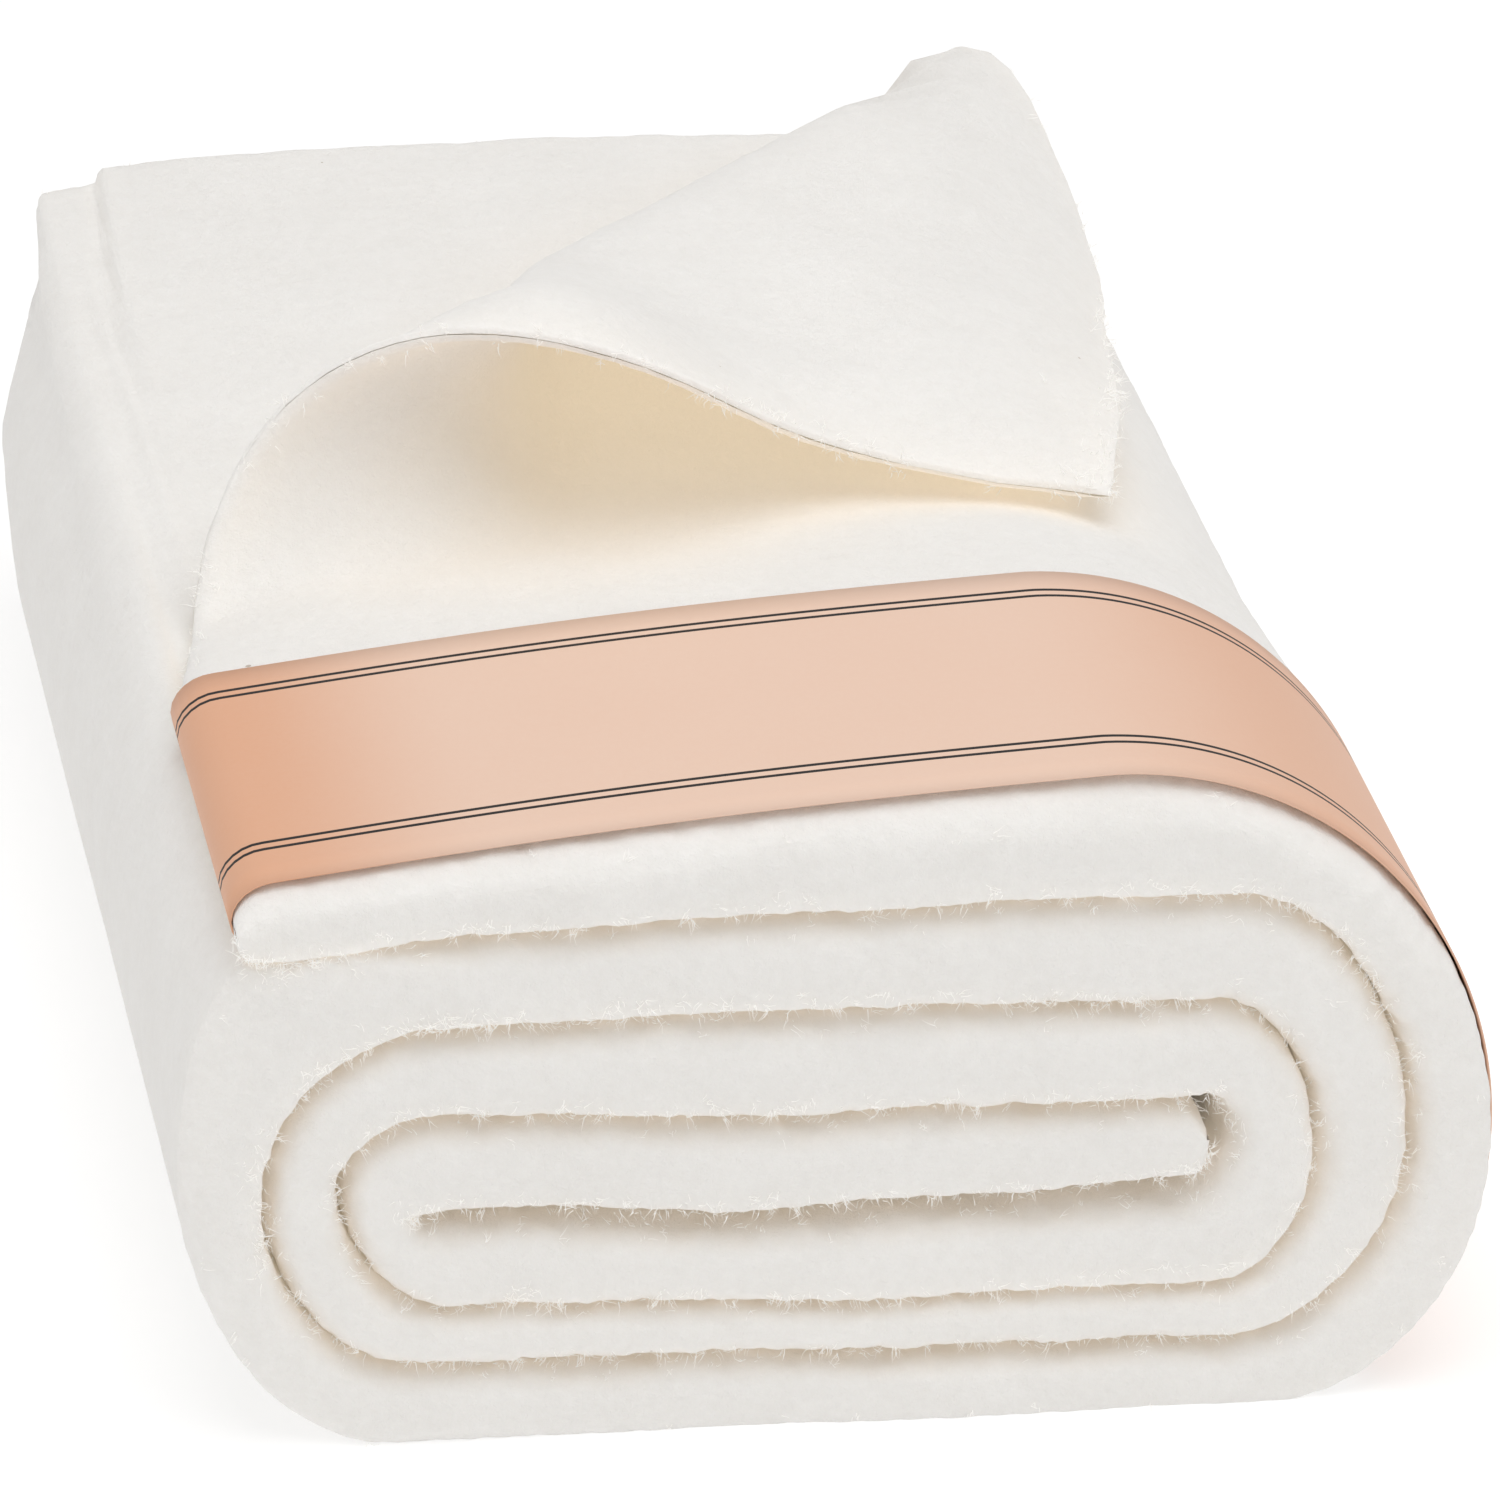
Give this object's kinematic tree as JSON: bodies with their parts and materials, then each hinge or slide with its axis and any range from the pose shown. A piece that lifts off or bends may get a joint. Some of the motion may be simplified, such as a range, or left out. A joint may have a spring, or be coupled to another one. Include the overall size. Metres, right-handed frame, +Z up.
{
  "type": "roll of quilt batting",
  "caption": "Soft cotton quilt batting wound flat into an oval roll, its loose back corner turned over, held by a plain paper belly band near the front end.",
  "frame": {"origin": "middle of the roll's bounding box, on the surface that the roll lies on", "axes": "+Z up, +Y along the roll away from the end where the spiral and the belly band show, +X to the right seen from that end"},
  "size_m": [0.2015, 0.3058, 0.1377],
  "materials": {
    "cotton_batting": "soft, matt, slightly fuzzy natural cotton white",
    "band_paper": "smooth matt paper, peach, with thin black ruled lines"
  },
  "bodies": {
    "root": {"batting": "cotton_batting", "belly_band": "band_paper"}
  },
  "joints": []
}
